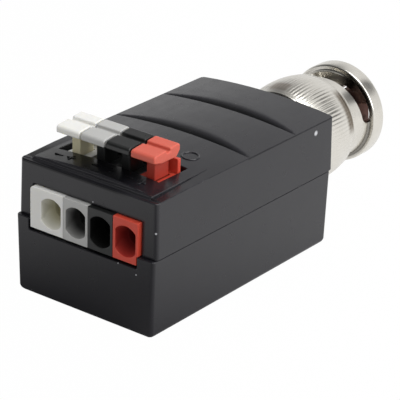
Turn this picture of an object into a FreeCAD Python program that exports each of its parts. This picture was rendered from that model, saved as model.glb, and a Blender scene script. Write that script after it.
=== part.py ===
import FreeCAD, Part
import math
import os

# Passive video balun: a moulded two-part housing with a four-way push-key
# terminal block at the front and a quarter-turn bayonet coax plug at the back.
# +X right, +Y from the terminals to the plug, +Z up. The part stands on its
# flat base, and its origin is the middle of its footprint.
# Sizes are in mm. Y is counted from the upper shell's front face at the seam
# until the last step, which moves every piece into the part's frame.

# Housing shells
side_room = 0.93            # terminal block to the inside of the side walls, at the seam
upper_length = 37.0
lower_front_proud = 0.6     # the lower shell's front stands out past the upper's
lower_back_inset = 0.4
seam_height = 10.5          # base to the seam
upper_height = 7.55         # seam to the side rim
crown_rise = 0.68           # middle of the top above the side rim
crown_fall = 0.12           # top drops this much from front to back
side_draft = 1.3            # degrees
end_draft = 0.5             # degrees
wall = 1.5
corner_radius = 0.55
corner_steps = 3            # straight pieces that stand for a corner's curve
base_edge_radius = 0.7
base_edge_steps = 3
seam_tongue_height = 1.0
seam_gap = 0.1              # tongue to its groove, all round

# Raised top panel, its ledges and its two grip grooves
ledge_drop = 0.12           # front ledge below the side rim
ledge_depth = 0.65          # front face to the foot of the riser
riser_depth = 0.6
side_ledge_width = 1.4
side_ledge_taper = 0.26     # the side ledge is this much wider where it fades out
side_ledge_length = 17.0
groove_first = 18.4         # vertical wall of the first grip groove
groove_spacing = 9.9
groove_count = 2
groove_depth = 0.43
groove_length = 2.6
groove_heel = 0.9           # steeper part of its ramp

# Terminal block
colours = ["white", "grey", "black", "red"]
pitch = 3.96
end_wall = 1.4              # extra wall beside the first module
module_gap = 0.04           # between neighbours
block_depth = 11.0          # front face to the back of a module
nose_height = 5.62
nose_corner_radius = 0.5    # the block's rounded top corner beside the end wall
port_height = 2.69          # board to the port's axis
port_radius = 2.05
port_flat_half = 1.58       # the port's mouth is cut off by two upright flats
funnel_depth = 2.2
wire_bore_radius = 1.2
throat_step = 0.1           # funnel's end beyond the bore
funnel_facets = 32          # flats round the funnel
chamber_wall = 0.45         # between the chamber and the module's side
chamber_front = 4.2         # block face to the chamber
chamber_back_wall = 0.8
chamber_height = 5.03       # board to the chamber's ceiling
tower_height = 3.2          # the key guide above the nose
tower_front = 5.25          # block face to the key guide
tower_depth = 4.25
tower_end_trim = 0.5        # the two outer guides are this much narrower
fin_thickness = 0.55
fin_height = 2.0
block_clearance = 0.08      # block to the openings in the shells
under_block_gap = 0.43      # block to the notch in the lower shell
notch_left_gap = 0.35       # free space beside the end wall, below the seam
notch_right_step = 0.25     # the last module is this much narrower below the seam
recess_side_gap = 1.05      # free space in the top opening, on the end wall's side
recess_back_gap = 1.25

# Push keys
key_offset = 0.65           # key's middle to the port's middle
key_head_gap = 0.24
key_head_thickness = 0.95   # at the front end
key_head_rise = 0.4         # the head's top climbs this much to the back
key_head_belly = 0.35       # and its underside drops this much at the stem
key_head_chamfer = 0.25
key_head_overhang = 1.65    # head in front of its stem
key_fin_gap = 0.1           # head's back end to the fin
key_underside = 3.01        # guide's top to the underside at the front end
key_groove_front = 2.35     # head's front end to its cross groove
key_groove_width = 0.75
key_groove_depth = 0.4
key_stem_width = 1.35
key_stem_depth = 2.7
key_stem_front = 0.15       # guide's front face to the stem's slot
key_clearance = 0.1
key_foot_step = 0.35        # the foot stands out past the stem, front and back
key_foot_height = 1.0
key_foot_play = 0.05        # foot to the chamber's ceiling

# Clamping parts in each module
contact_width = 0.9
contact_thickness = 0.6
contact_side_gap = 0.15     # contact bar to the key's foot
contact_pin_below_board = 0.9
spring_thickness = 0.3
spring_bend_radius = 0.8
spring_side_gap = 0.2
spring_leaf_angle = 29.0    # degrees above the board
spring_tip_gap = 0.04       # leaf to the contact bar

# Circuit board and what it carries
board_thickness = 1.6
board_top = 9.37            # base to the board's upper face
board_side_gap = 0.35
board_front_gap = 0.15
board_back_gap = 0.8        # board to the plug's tail
pin_hole_clearance = 0.15
post_half_width = 1.2
post_inset = 2.2
core_outer_radius = 4.3
core_inner_radius = 2.3
core_height = 3.6
winding_thickness = 0.45
winding_clearance = 0.02
winding_open_angle = 60.0   # degrees of bare core between the two ends
chip_length = 3.2
chip_width = 1.6
chip_height = 0.6
surge_length = 4.4
surge_width = 2.7
surge_height = 2.1
component_gap = 0.35        # winding to the parts beside it, and between those

# Coax plug
plug_above_board = 1.32     # board to the plug's axis
flange_radius = 6.3
flange_flat_half = 5.6      # half of the square flange's width
flange_thickness = 1.5
flange_gap = 0.05
tail_radius = 4.1
tail_length = 2.1
cradle_thickness = 1.2
collar_gap = 0.2            # housing to the plug's outer collar
collar_radius = 5.6
collar_length = 2.0
waist_radius = 5.1
waist_clearance = 0.1
journal_radius = 4.6
journal_length = 5.2
shoulder_radius = 5.85
shoulder_thickness = 1.1
insulator_radius = 3.35
insulator_back_rim = 0.7
insulator_reach = 1.2       # past the shoulder's front face
press_clearance = 0.02
sleeve_radius = 4.0
sleeve_wall = 0.55
sleeve_seat = 2.4
sleeve_reach = 8.2
sleeve_slit_width = 0.4
sleeve_slit_length = 4.6
sleeve_slits = 4
pin_radius = 0.685
pin_body_radius = 0.9
pin_setback = 0.6           # pin's tip behind the sleeve's mouth
pin_nose = 0.5
pin_tail_radius = 0.5
pin_tail_length = 1.1
gasket_thickness = 1.4
gasket_gap = 0.1
lead_width = 0.6
lead_thickness = 0.25
lead_straight = 0.9

# Coupling nut and its spring stack
nut_length = 15.5
nut_back_gap = 0.6          # plug's collar to the nut
knurl_length = 7.75
knurl_crest = 4.45          # nut's back to the barrel's widest place
knurl_back_radius = 6.8
knurl_middle_radius = 7.46
knurl_front_radius = 7.1
knurl_steps = 2             # straight pieces that stand for the curve on each side of the crest
shoulder_round = 0.7        # length of the rounding in front of the knurl
shoulder_drop = 0.25
neck_bevel = 1.65           # knurl's end to the neck
knurl_facets = 60           # flats round the barrel
neck_step = 0.05            # from the cone's end down to the neck
neck_radius = 6.1
rim_length = 2.4
rim_radius = 7.0
rim_chamfer = 0.25
nut_bore_radius = 4.95
running_clearance = 0.1
ring_recess = 2.2           # the nut's skirt behind the retaining ring
ring_thickness = 0.5
washer_thickness = 0.4
wave_strip = 0.25
wave_count = 3
wave_steps = 10
slot_width = 2.4
slot_depth_radius = 6.35    # how far out the ramp is cut
slot_entry_radius = 5.65
slot_entry_angle = 14.0     # degrees from +X towards +Z
slot_lock_angle = 108.0
slot_entry_back = 2.7       # nut's mouth to the middle of the ramp's start
slot_lead = 1.6             # how far back the ramp draws the nut
lock_hole_radius = 1.35
slot_steps = 5              # straight pieces that stand for each ramp
slot_count = 2

# Places worked out from the sizes
block_width = pitch * len(colours) + end_wall
half_width = block_width / 2 + side_room + wall
side_slope = math.tan(math.radians(side_draft))
end_slope = math.tan(math.radians(end_draft))
rim_height = seam_height + upper_height
rim_half_width = half_width - upper_height * side_slope
crown_top = rim_height + crown_rise
crown_radius = rim_half_width ** 2 / (2 * crown_rise)
lower_back = upper_length - lower_back_inset
cavity_front = wall - lower_front_proud
cavity_back = lower_back - wall
cavity_half_width = half_width - wall
ceiling_height = rim_height - wall

block_face = -lower_front_proud
block_left = -block_width / 2
first_port_x = block_left + end_wall + pitch / 2
nose_top = board_top + nose_height
port_z = board_top + port_height
chamber_y0 = block_face + chamber_front
chamber_y1 = block_face + block_depth - chamber_back_wall
chamber_top = board_top + chamber_height
tower_top = nose_top + tower_height
tower_y0 = block_face + tower_front
tower_y1 = tower_y0 + tower_depth
key_row_left = first_port_x - key_offset - pitch / 2 + tower_end_trim
key_row_right = key_row_left + pitch * len(colours) - 2 * tower_end_trim
recess_x0 = key_row_left - recess_side_gap
recess_x1 = key_row_right + block_clearance
recess_y0 = tower_y0 - block_clearance
recess_y1 = tower_y1 + recess_back_gap

stem_y0 = tower_y0 + key_stem_front + key_clearance
stem_y1 = stem_y0 + key_stem_depth
foot_top = chamber_top - key_foot_play
foot_bottom = foot_top - key_foot_height
head_bottom = tower_top + key_underside
head_top = head_bottom + key_head_thickness

plug_height = board_top + plug_above_board
flange_back = cavity_back - flange_gap
flange_front = flange_back - flange_thickness
tail_front = flange_front - tail_length

board_bottom = board_top - board_thickness
board_front = cavity_front + board_front_gap
board_back = tail_front - board_back_gap
board_half_width = cavity_half_width - board_side_gap
core_y = (block_face + block_depth + board_back) / 2
winding_radius = core_outer_radius + winding_thickness + winding_clearance
component_x = winding_radius + component_gap + surge_width / 2

collar_y0 = upper_length + collar_gap
collar_y1 = collar_y0 + collar_length
nut_back = collar_y1 + nut_back_gap
ring_y0 = nut_back + ring_recess
ring_y1 = ring_y0 + ring_thickness
washer_y1 = ring_y1 + washer_thickness
shoulder_y0 = collar_y1 + journal_length
shoulder_y1 = shoulder_y0 + shoulder_thickness
ring_bore = journal_radius + running_clearance
nut_chamber_radius = shoulder_radius + running_clearance
nut_front = nut_back + nut_length
neck_back = nut_back + knurl_length
rim_back = nut_front - rim_length
sleeve_back = shoulder_y1 - sleeve_seat
sleeve_front = shoulder_y1 + sleeve_reach
insulator_front = shoulder_y1 + insulator_reach
insulator_back = tail_front + insulator_back_rim
pin_tip = sleeve_front - pin_setback

overall_length = nut_front - block_face
origin_y = block_face + overall_length / 2

X_AXIS = FreeCAD.Vector(1, 0, 0)
Y_AXIS = FreeCAD.Vector(0, 1, 0)
Z_AXIS = FreeCAD.Vector(0, 0, 1)
PLUG_CENTRE = FreeCAD.Vector(0, 0, plug_height)


def box(x0, x1, y0, y1, z0, z1):
    corner = FreeCAD.Vector(x0, y0, z0)
    return Part.makeBox(x1 - x0, y1 - y0, z1 - z0, corner)


def rounded_outline(x0, x1, y0, y1, z, radius):
    """A rectangle with round corners, as a wire at height z."""
    corners = [(x1 - radius, y1 - radius, 0), (x0 + radius, y1 - radius, 90), (x0 + radius, y0 + radius, 180),
               (x1 - radius, y0 + radius, 270)]
    points = []
    for x, y, start in corners:
        for step in range(corner_steps + 1):
            turn = math.radians(start + 90 * step / corner_steps)
            points.append(FreeCAD.Vector(x + radius * math.cos(turn), y + radius * math.sin(turn), z))
    return Part.makePolygon(points + points[:1])


def drafted_outline(half, y0, y1, z_wide, z, radius, inset=0.0):
    """The block's outline at height z, set in by the drafts and by inset."""
    height = abs(z - z_wide)
    side = height * side_slope + inset
    end = height * end_slope + inset
    return rounded_outline(-half + side, half - side, y0 + end, y1 - end, z, radius)


def cut_each(shape, cutters):
    for cutter in cutters:
        shape = shape.cut(cutter)
    return shape


def drafted_block(half, y0, y1, z_wide, z_narrow, radius):
    """A block widest at z_wide, drawn in towards z_narrow by the drafts."""
    return Part.makeLoft([drafted_outline(half, y0, y1, z_wide, z, radius) for z in (z_wide, z_narrow)],
                         True, True)


def prism_along_x(points, x0, x1):
    """A closed outline of (y, z) points, drawn from x0 to x1."""
    corners = [FreeCAD.Vector(x0, y, z) for y, z in points]
    outline = Part.makePolygon(corners + corners[:1])
    return Part.Face(outline).extrude(FreeCAD.Vector(x1 - x0, 0, 0))


def prism_along_y(points, y0, y1):
    """A closed outline of (x, z) points, drawn from y0 to y1."""
    corners = [FreeCAD.Vector(x, y0, z) for x, z in points]
    outline = Part.makePolygon(corners + corners[:1])
    return Part.Face(outline).extrude(FreeCAD.Vector(0, y1 - y0, 0))


def turned(points):
    """A closed outline of (y, radius) points, turned about the plug's axis."""
    corners = [FreeCAD.Vector(radius, y, plug_height) for y, radius in points]
    outline = Part.makePolygon(corners + corners[:1])
    return Part.Face(outline).revolve(PLUG_CENTRE, Y_AXIS, 360)


def corner_ring(x, y, z, radius, sides):
    """The corners of a regular polygon that faces along Y."""
    corners = []
    for side in range(sides):
        turn = 2 * math.pi * side / sides
        corners.append(FreeCAD.Vector(x + radius * math.cos(turn), y, z + radius * math.sin(turn)))
    return corners


def faceted_solid(rings, twisted=False):
    """Straight facets from each ring of corners to the next; twisted ones are split into triangles."""
    outlines = [rings[0], rings[-1]]
    for first, second in zip(rings, rings[1:]):
        for index, corner in enumerate(first):
            if twisted:
                outlines.append([first[index - 1], corner, second[index]])
                outlines.append([first[index - 1], second[index], second[index - 1]])
            else:
                outlines.append([first[index - 1], corner, second[index], second[index - 1]])
    shell = Part.makeShell([Part.Face(Part.makePolygon(outline + outline[:1])) for outline in outlines])
    shell.sewShape()
    return Part.makeSolid(shell)


def tube(y0, y1, outer, inner):
    return turned([(y0, inner), (y1, inner), (y1, outer), (y0, outer)])


def rod(y0, y1, radius, x=0.0, z=plug_height):
    return Part.makeCylinder(radius, y1 - y0, FreeCAD.Vector(x, y0, z), Y_AXIS)


def port_x(index):
    return first_port_x + index * pitch


def key_x(index):
    return port_x(index) - key_offset


# Housing

def crown_cutter():
    """Everything above the slightly barrelled top of the housing."""
    reach = upper_length * 2
    tilt = math.degrees(math.atan2(crown_fall, upper_length))
    start = FreeCAD.Vector(0, -reach / 2, crown_top - crown_radius)
    barrel = Part.makeCylinder(crown_radius, reach, start, Y_AXIS)
    barrel.rotate(FreeCAD.Vector(0, upper_length / 2, crown_top), X_AXIS, -tilt)
    slab = box(-half_width, half_width, -wall, upper_length + wall, seam_height, crown_top + wall)
    return slab.cut(barrel)


def ledge_cutters():
    """The step in front of the raised panel and the two that fade out along its sides."""
    above = crown_top + wall
    floor = rim_height - ledge_drop
    riser_top = ledge_depth + riser_depth
    front = prism_along_x(
        [(-wall, floor), (ledge_depth, floor), (riser_top, crown_top + crown_fall), (riser_top, above),
         (-wall, above)],
        -half_width, half_width)
    inner_front = rim_half_width - side_ledge_width
    inner_back = inner_front - side_ledge_taper
    fade_height = crown_top + crown_fall - inner_back ** 2 / (2 * crown_radius)
    cutters = [front]
    for side in (-1, 1):
        sections = []
        for y, inner, bottom in ((0.0, inner_front, floor), (side_ledge_length, inner_back, fade_height)):
            corners = [FreeCAD.Vector(side * inner, y, bottom), FreeCAD.Vector(side * half_width, y, bottom),
                       FreeCAD.Vector(side * half_width, y, above), FreeCAD.Vector(side * inner, y, above)]
            sections.append(Part.makePolygon(corners + corners[:1]))
        cutters.append(Part.makeLoft(sections, True, True))
    return cutters


def groove_cutters():
    """Grip grooves: an upright wall at the front and a ramp that rises to the back."""
    bottom = crown_top - groove_depth
    middle = bottom + groove_depth * 0.6
    above = crown_top + wall
    cutters = []
    for index in range(groove_count):
        start = groove_first + index * groove_spacing
        outline = [(start, bottom), (start + groove_heel, middle), (start + groove_length, crown_top),
                   (start + groove_length, above), (start, above)]
        cutters.append(prism_along_x(outline, -half_width, half_width))
    return cutters


def plug_passage():
    return rod(cavity_back - wall / 2, upper_length + wall, waist_radius + waist_clearance)


def block_window(z0):
    """The opening in the front for the terminal block."""
    return box(block_left - block_clearance, -block_left + block_clearance, -wall, wall * 2,
               z0, nose_top + block_clearance)


def cradle(y0, y1, z0, z1):
    """The rib that keeps the plug's flange against the back wall."""
    rib = box(-cavity_half_width, cavity_half_width, y0, y1, z0, z1)
    return rib.cut(rod(y0 - wall, y1 + wall, tail_radius + waist_clearance))


def seam_tongue():
    """A lip on the lower shell that fits inside the upper shell's wall."""
    inner = cavity_half_width
    outer = inner + wall / 2
    ring = box(-outer, outer, cavity_front - wall / 2 + lower_front_proud, cavity_back + wall / 2,
               seam_height - wall, seam_height + seam_tongue_height)
    return ring.cut(box(-inner, inner, cavity_front, cavity_back, 0, rim_height))


def tongue_groove():
    inner = cavity_half_width - seam_gap
    outer = cavity_half_width + wall / 2 + seam_gap
    ring = box(-outer, outer, cavity_front - wall / 2 + lower_front_proud - seam_gap,
               cavity_back + wall / 2 + seam_gap,
               seam_height - wall, seam_height + seam_tongue_height + seam_gap)
    return ring.cut(box(-inner, inner, cavity_front + seam_gap, cavity_back - seam_gap, 0, rim_height))


def board_posts(z0, z1, rows):
    posts = []
    for y in rows:
        for side in (-1, 1):
            x = side * (board_half_width - post_inset)
            posts.append(box(x - post_half_width, x + post_half_width, y - post_half_width,
                             y + post_half_width, z0, z1))
    return posts


def upper_shell():
    block = drafted_block(half_width, 0, upper_length, seam_height, crown_top + wall, corner_radius)
    block = cut_each(block, [crown_cutter()] + ledge_cutters() + groove_cutters())
    hollow_half = cavity_half_width - upper_height * side_slope
    hollow = box(-hollow_half, hollow_half, wall, cavity_back, seam_height - wall, ceiling_height)
    shell = block.cut(hollow)
    ribs = [cradle(flange_front - flange_gap - cradle_thickness, flange_front - flange_gap,
                   seam_height, ceiling_height + wall / 2)]
    ribs += board_posts(board_top, ceiling_height + wall / 2, [board_back - post_inset])
    keep = box(-hollow_half, hollow_half, 0, upper_length, 0, ceiling_height + wall / 2)
    shell = shell.fuse([rib.common(keep) for rib in ribs])
    recess = box(recess_x0, recess_x1, recess_y0, recess_y1, nose_top, crown_top + wall)
    return cut_each(shell, [block_window(0), recess, plug_passage(), tongue_groove()])


def lower_shell():
    sections = [drafted_outline(half_width, -lower_front_proud, lower_back, seam_height, seam_height,
                                corner_radius)]
    for step in range(base_edge_steps + 1):
        turn = math.pi / 2 * step / base_edge_steps
        sections.append(drafted_outline(half_width, -lower_front_proud, lower_back, seam_height,
                                        base_edge_radius * (1 - math.sin(turn)), corner_radius,
                                        base_edge_radius * (1 - math.cos(turn))))
    block = Part.makeLoft(sections, True, True)
    floor_half = cavity_half_width - seam_height * side_slope
    hollow = prism_along_y([(-floor_half, wall), (floor_half, wall), (cavity_half_width, seam_height),
                            (cavity_half_width, rim_height), (-cavity_half_width, rim_height),
                            (-cavity_half_width, seam_height)], cavity_front, cavity_back)
    shell = block.cut(hollow)
    saddle = box(-floor_half, floor_half, flange_front - flange_gap - cradle_thickness,
                 flange_front - flange_gap, wall / 2, seam_height)
    saddle = saddle.cut(rod(0, upper_length, tail_radius + waist_clearance))
    rows = [board_front + block_depth + post_inset, board_back - post_inset]
    shell = shell.fuse([saddle, seam_tongue()] + board_posts(wall / 2, board_bottom, rows))
    notch = box(block_left - notch_left_gap, -block_left - notch_right_step + block_clearance, -wall,
                cavity_front + wall, board_top - under_block_gap, rim_height)
    return cut_each(shell, [notch, block_window(seam_height), plug_passage()])


# Terminal block

def port_cutter(index):
    """A funnel with two flats that narrows to the round hole for the wire."""
    place = FreeCAD.Vector(port_x(index), block_face, port_z)
    mouth = corner_ring(place.x, block_face, port_z, port_radius, funnel_facets)
    throat = corner_ring(place.x, block_face + funnel_depth, port_z, wire_bore_radius + throat_step,
                         funnel_facets)
    funnel = faceted_solid([mouth, throat])
    flats = box(port_x(index) - port_flat_half, port_x(index) + port_flat_half,
                block_face, block_face + funnel_depth, port_z - port_radius, port_z + port_radius)
    bore = Part.makeCylinder(wire_bore_radius, chamber_front + wall, place, Y_AXIS)
    return funnel.common(flats).fuse(bore)


def guide_span(index):
    """Left and right faces of one key guide."""
    left = key_x(index) - pitch / 2 + module_gap / 2
    right = key_x(index) + pitch / 2 - module_gap / 2
    return max(left, key_row_left), min(right, key_row_right)


def terminal_module(index):
    left = port_x(index) - pitch / 2 + module_gap / 2
    right = port_x(index) + pitch / 2 - module_gap / 2
    if index == 0:
        left = block_left
    nose = box(left, right, block_face, block_face + block_depth, board_top, nose_top)
    if index == 0:
        corner = [edge for edge in nose.Edges
                  if edge.CenterOfMass.x < left + 0.01 and edge.CenterOfMass.z > nose_top - 0.01]
        nose = nose.makeFillet(nose_corner_radius, corner)
    if index == len(colours) - 1:
        relief = box(right - notch_right_step, right + wall, block_face, cavity_front + block_clearance,
                     board_top, seam_height + block_clearance)
        nose = nose.cut(relief)
    guide_left, guide_right = guide_span(index)
    guide = box(guide_left, guide_right, tower_y0, tower_y1, nose_top, tower_top)
    fin = box(guide_left, guide_right, tower_y1 - fin_thickness, tower_y1, nose_top, tower_top + fin_height)
    body = nose.fuse([guide, fin]).removeSplitter()
    chamber = box(port_x(index) - pitch / 2 + chamber_wall, port_x(index) + pitch / 2 - chamber_wall,
                  chamber_y0, chamber_y1, board_top, chamber_top)
    slot_half = key_stem_width / 2 + key_clearance
    slot = box(key_x(index) - slot_half, key_x(index) + slot_half, stem_y0 - key_clearance,
               stem_y1 + key_clearance, chamber_top - wall, tower_top + wall)
    return body.cut([chamber, slot, port_cutter(index)])


def push_key(index):
    """A T-shaped key: two finger pads on a stem that ends in a foot."""
    head_half = (pitch - key_head_gap) / 2
    head_y0 = stem_y0 - key_head_overhang
    head_y1 = tower_y1 - fin_thickness - key_fin_gap
    cut = key_head_chamfer
    head_back = head_top + key_head_rise
    belly = head_bottom - key_head_belly
    head = prism_along_x(
        [(head_y0, head_bottom), (stem_y0, belly), (stem_y1, belly), (head_y1, head_top - cut * 2),
         (head_y1, head_back - cut), (head_y1 - cut, head_back), (head_y0 + cut, head_top),
         (head_y0, head_top - cut)],
        key_x(index) - head_half, key_x(index) + head_half)
    groove_y0 = head_y0 + key_groove_front
    groove_bottom = (head_top + head_back) / 2 - key_groove_depth
    groove = box(key_x(index) - pitch, key_x(index) + pitch, groove_y0, groove_y0 + key_groove_width,
                 groove_bottom, head_back)
    half = key_stem_width / 2
    stem = box(key_x(index) - half, key_x(index) + half, stem_y0, stem_y1, foot_bottom, belly)
    foot = box(key_x(index) - half, key_x(index) + half, stem_y0 - key_foot_step, stem_y1 + key_foot_step,
               foot_bottom, foot_top)
    return head.cut(groove).fuse([stem, foot]).removeSplitter()


def contact_bar(index):
    """A bent strip: the bar that the wire is pressed against, and its solder leg."""
    left = key_x(index) + key_stem_width / 2 + contact_side_gap
    right = left + contact_width
    bar_bottom = port_z + wire_bore_radius + spring_tip_gap
    bar_top = bar_bottom + contact_thickness
    leg_back = chamber_y1 - contact_thickness / 2
    leg_front = leg_back - contact_thickness
    outline = [(chamber_y0 + contact_thickness / 2, bar_bottom), (leg_front, bar_bottom),
               (leg_front, board_bottom - contact_pin_below_board),
               (leg_back, board_bottom - contact_pin_below_board), (leg_back, bar_top),
               (chamber_y0 + contact_thickness / 2, bar_top)]
    return prism_along_x(outline, left, right)


def clamp_spring(index):
    """A leaf folded back over its foot, which lifts the wire against the contact bar."""
    left = port_x(index) - pitch / 2 + chamber_wall + spring_side_gap
    right = port_x(index) + pitch / 2 - chamber_wall - spring_side_gap
    angle = math.radians(spring_leaf_angle)
    inner = spring_bend_radius
    outer = inner + spring_thickness
    contact_leg = chamber_y1 - contact_thickness * 1.5
    centre_y = contact_leg - spring_side_gap - outer
    centre_z = board_top + outer
    tip_z = port_z + wire_bore_radius
    rise = tip_z - (centre_z + outer * math.cos(angle))
    leaf = rise / math.sin(angle)
    foot_front = chamber_y0 + spring_side_gap

    def point(y, z):
        return FreeCAD.Vector(left, y, z)

    def on_bend(radius, turn):
        return point(centre_y + radius * math.sin(turn), centre_z + radius * math.cos(turn))

    along = FreeCAD.Vector(0, -math.cos(angle), math.sin(angle)) * leaf
    outer_end = on_bend(outer, angle)
    inner_end = on_bend(inner, angle)
    middle = (math.pi + angle) / 2
    edges = [
        Part.makeLine(point(foot_front, board_top), point(centre_y, board_top)),
        Part.Arc(on_bend(outer, math.pi), on_bend(outer, middle), outer_end).toShape(),
        Part.makeLine(outer_end, outer_end + along),
        Part.makeLine(outer_end + along, inner_end + along),
        Part.makeLine(inner_end + along, inner_end),
        Part.Arc(inner_end, on_bend(inner, middle), on_bend(inner, math.pi)).toShape(),
        Part.makeLine(on_bend(inner, math.pi), point(foot_front, board_top + spring_thickness)),
        Part.makeLine(point(foot_front, board_top + spring_thickness), point(foot_front, board_top)),
    ]
    return Part.Face(Part.Wire(edges)).extrude(FreeCAD.Vector(right - left, 0, 0))


# Circuit board and its components

def circuit_board():
    board = box(-board_half_width, board_half_width, board_front, board_back, board_bottom, board_top)
    leg_back = chamber_y1 - contact_thickness / 2
    holes = []
    for index in range(len(colours)):
        left = key_x(index) + key_stem_width / 2 + contact_side_gap
        holes.append(box(left - pin_hole_clearance, left + contact_width + pin_hole_clearance,
                         leg_back - contact_thickness - pin_hole_clearance, leg_back + pin_hole_clearance,
                         0, rim_height))
    return board.cut(holes)


def transformer_core():
    bottom = FreeCAD.Vector(0, core_y, board_top + winding_thickness + winding_clearance)
    ring = Part.makeCylinder(core_outer_radius, core_height, bottom)
    return ring.cut(Part.makeCylinder(core_inner_radius, core_height, bottom))


def transformer_winding():
    """The bundle of turns round the core, open over a part of its circle."""
    space = winding_clearance
    bottom = FreeCAD.Vector(0, core_y, board_top)
    height = core_height + 2 * (winding_thickness + space)
    sweep = 360 - winding_open_angle
    outer = Part.makeCylinder(winding_radius, height, bottom, Z_AXIS, sweep)
    hole = Part.makeCylinder(core_inner_radius - winding_thickness - space, height, bottom)
    inside = Part.makeCylinder(core_outer_radius + space, core_height + 2 * space,
                               bottom + Z_AXIS * winding_thickness)
    inside = inside.cut(Part.makeCylinder(core_inner_radius - space, height, bottom))
    winding = outer.cut([hole, inside])
    winding.rotate(bottom, Z_AXIS, winding_open_angle / 2 - 90)
    return winding


def component(side, y, length, width, height):
    x = side * component_x
    return box(x - width / 2, x + width / 2, y - length / 2, y + length / 2, board_top, board_top + height)


def lead(x, start_y):
    """A bent tag from the plug's back end down to the board."""
    half = lead_thickness / 2
    back = start_y - lead_straight
    outline = [(start_y, plug_height + half), (back, plug_height + half), (back, board_top),
               (back + lead_thickness, board_top), (back + lead_thickness, plug_height - half),
               (start_y, plug_height - half)]
    return prism_along_x(outline, x - lead_width / 2, x + lead_width / 2)


# Coax plug

def plug_body():
    """The turned body: tail, square flange, waist, collar, journal and shoulder."""
    bore = insulator_radius + press_clearance
    seat = sleeve_radius + press_clearance
    body = turned([
        (tail_front, bore), (tail_front, tail_radius), (flange_front, tail_radius),
        (flange_front, flange_radius), (flange_back, flange_radius), (flange_back, waist_radius),
        (collar_y0, waist_radius), (collar_y0, collar_radius), (collar_y1, collar_radius),
        (collar_y1, journal_radius), (shoulder_y0, journal_radius),
        (shoulder_y0, shoulder_radius), (shoulder_y1, shoulder_radius), (shoulder_y1, seat),
        (sleeve_back, seat), (sleeve_back, bore)])
    flats = []
    for turn in range(4):
        flat = box(flange_flat_half, flange_radius * 2, flange_front, flange_back,
                   plug_height - flange_radius * 2, plug_height + flange_radius * 2)
        flat.rotate(PLUG_CENTRE, Y_AXIS, 90 * turn)
        flats.append(flat)
    return cut_each(body, flats)


def plug_insulator():
    bore = pin_body_radius + press_clearance
    return tube(insulator_back, insulator_front, insulator_radius, bore)


def centre_pin():
    tail_end = insulator_back - insulator_back_rim - pin_tail_length
    pin = turned([(tail_end, 0), (tail_end, pin_tail_radius), (insulator_back, pin_tail_radius),
                  (insulator_back, pin_body_radius), (insulator_front, pin_body_radius),
                  (insulator_front, pin_radius), (pin_tip - pin_nose, pin_radius),
                  (pin_tip, pin_radius / 2), (pin_tip, 0)])
    return pin


def ground_sleeve():
    """The slotted outer contact, with spring fingers at its mouth."""
    sleeve = tube(sleeve_back, sleeve_front, sleeve_radius, sleeve_radius - sleeve_wall)
    slits = []
    for index in range(sleeve_slits // 2):
        slit = box(-sleeve_slit_width / 2, sleeve_slit_width / 2, sleeve_front - sleeve_slit_length,
                   sleeve_front + wall, plug_height - rim_radius, plug_height + rim_radius)
        slit.rotate(PLUG_CENTRE, Y_AXIS, 45 + 360 / sleeve_slits * index)
        slits.append(slit)
    return sleeve.cut(slits)


def gasket():
    outer = nut_bore_radius - gasket_gap
    return tube(shoulder_y1, shoulder_y1 + gasket_thickness, outer, sleeve_radius + press_clearance)


def retaining_ring():
    return tube(ring_y0, ring_y1, nut_chamber_radius, ring_bore)


def thrust_washer():
    return tube(ring_y1, washer_y1, shoulder_radius, ring_bore)


def wave_spring():
    """A flat ring pressed into waves, between the washer and the plug's shoulder."""
    inner = ring_bore + running_clearance
    outer = shoulder_radius - running_clearance
    middle = (washer_y1 + shoulder_y0) / 2
    swing = (shoulder_y0 - washer_y1 - wave_strip) / 2
    steps = wave_count * wave_steps
    rings = []
    corners = [(inner, -wave_strip), (inner, wave_strip), (outer, wave_strip), (outer, -wave_strip)]
    for radius, offset in corners:
        points = []
        for step in range(steps + 1):
            turn = 2 * math.pi * step / steps
            y = middle + offset / 2 + swing * math.cos(wave_count * turn)
            z = plug_height + radius * math.sin(turn)
            points.append(FreeCAD.Vector(radius * math.cos(turn), y, z))
        rings.append(Part.makePolygon(points))
    faces = []
    for index, ring in enumerate(rings):
        faces += Part.makeRuledSurface(ring, rings[index - 1]).Faces
    shell = Part.makeShell(faces)
    shell.sewShape()
    return Part.makeSolid(shell)


def bayonet_slot():
    """One bayonet track: straight entry, the hole that locks the stud and the helical ramp."""
    turn = slot_lock_angle - slot_entry_angle
    entry_y = nut_front - slot_entry_back
    lock_y = entry_y - slot_lead
    inner = nut_bore_radius - slot_width / 4
    half = slot_width / 2
    corners = [(inner, -half), (slot_depth_radius, -half), (slot_depth_radius, half), (inner, half)]
    rings = []
    for step in range(slot_steps + 1):
        share = step / slot_steps
        angle = math.radians(slot_entry_angle + turn * share)
        y = entry_y - slot_lead * share
        ring = []
        for radius, offset in corners:
            ring.append(FreeCAD.Vector(radius * math.cos(angle), y + offset,
                                       plug_height + radius * math.sin(angle)))
        rings.append(ring)
    ramp = faceted_solid(rings, True)
    depth = slot_depth_radius - inner
    hole = Part.makeCylinder(lock_hole_radius, depth, FreeCAD.Vector(inner, lock_y, plug_height), X_AXIS)
    hole.rotate(PLUG_CENTRE, Y_AXIS, -slot_lock_angle)
    entry = box(inner, slot_entry_radius, entry_y, nut_front + wall, plug_height - half, plug_height + half)
    start = Part.makeCylinder(half, depth, FreeCAD.Vector(inner, entry_y, plug_height), X_AXIS)
    entry = entry.fuse(start)
    entry.rotate(PLUG_CENTRE, Y_AXIS, -slot_entry_angle)
    return [entry, hole, ramp]


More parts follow.
